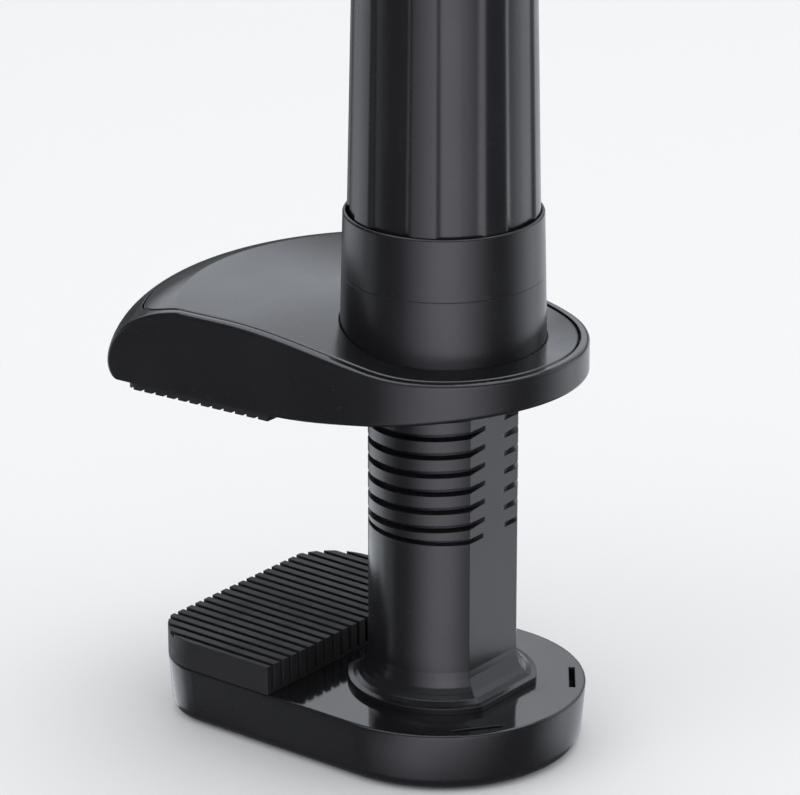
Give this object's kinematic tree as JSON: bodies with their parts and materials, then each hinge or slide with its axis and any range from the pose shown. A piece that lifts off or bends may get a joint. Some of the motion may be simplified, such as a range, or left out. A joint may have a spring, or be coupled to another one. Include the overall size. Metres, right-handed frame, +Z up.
{
  "type": "phone holder desk clamp",
  "caption": "Desk clamp base of a phone holder: two padded jaws on a threaded post, closed by turning a fluted hand grip with an arm socket on top.",
  "frame": {"origin": "where the post axis meets the lower jaw's bottom face", "axes": "+Z up the post axis, +Y from the post towards the desk, X along the desk edge"},
  "size_m": [0.062, 0.09, 0.175],
  "materials": {
    "jaw_plastic": "black moulded plastic, satin gloss",
    "cover_plastic": "black moulded plastic, gloss",
    "collar_plastic": "black moulded plastic, satin gloss",
    "grip_plastic": "black moulded plastic, satin gloss",
    "post_plastic": "black moulded plastic, satin gloss",
    "bearing_plastic": "dark grey natural plastic",
    "pad_rubber": "black ribbed rubber",
    "screw_steel": "zinc plated steel"
  },
  "bodies": {
    "lower_clamp": {"lower_jaw": "jaw_plastic", "base_cover": "cover_plastic", "base_screw": "screw_steel", "lower_pad": "pad_rubber", "clamp_post": "post_plastic", "post_screws": "screw_steel", "stop_washer": "screw_steel", "stop_screw": "screw_steel"},
    "upper_clamp": {"upper_jaw": "jaw_plastic", "jaw_cover": "cover_plastic", "jaw_screws": "screw_steel", "upper_pad": "pad_rubber", "collar_ring": "collar_plastic", "thrust_washer": "bearing_plastic"},
    "grip": {"hand_grip": "grip_plastic", "thread_sleeve": "bearing_plastic", "retaining_ring": "screw_steel", "arm_socket": "collar_plastic"}
  },
  "joints": [
    {"name": "jaw_travel", "type": "slide", "parent": "lower_clamp", "child": "upper_clamp", "axis": [0, 0, 1], "range_m": [-0.0368, 0.0141]},
    {"name": "grip_turn", "type": "hinge", "parent": "upper_clamp", "child": "grip", "pos_m": [0, 0, 0.12], "axis": [0, 0, 1], "range_deg": [-3780, 1440]}
  ],
  "couplings": [
    {"joint": "jaw_travel", "follows": "grip_turn", "m_per_rad": 0.00055704}
  ]
}
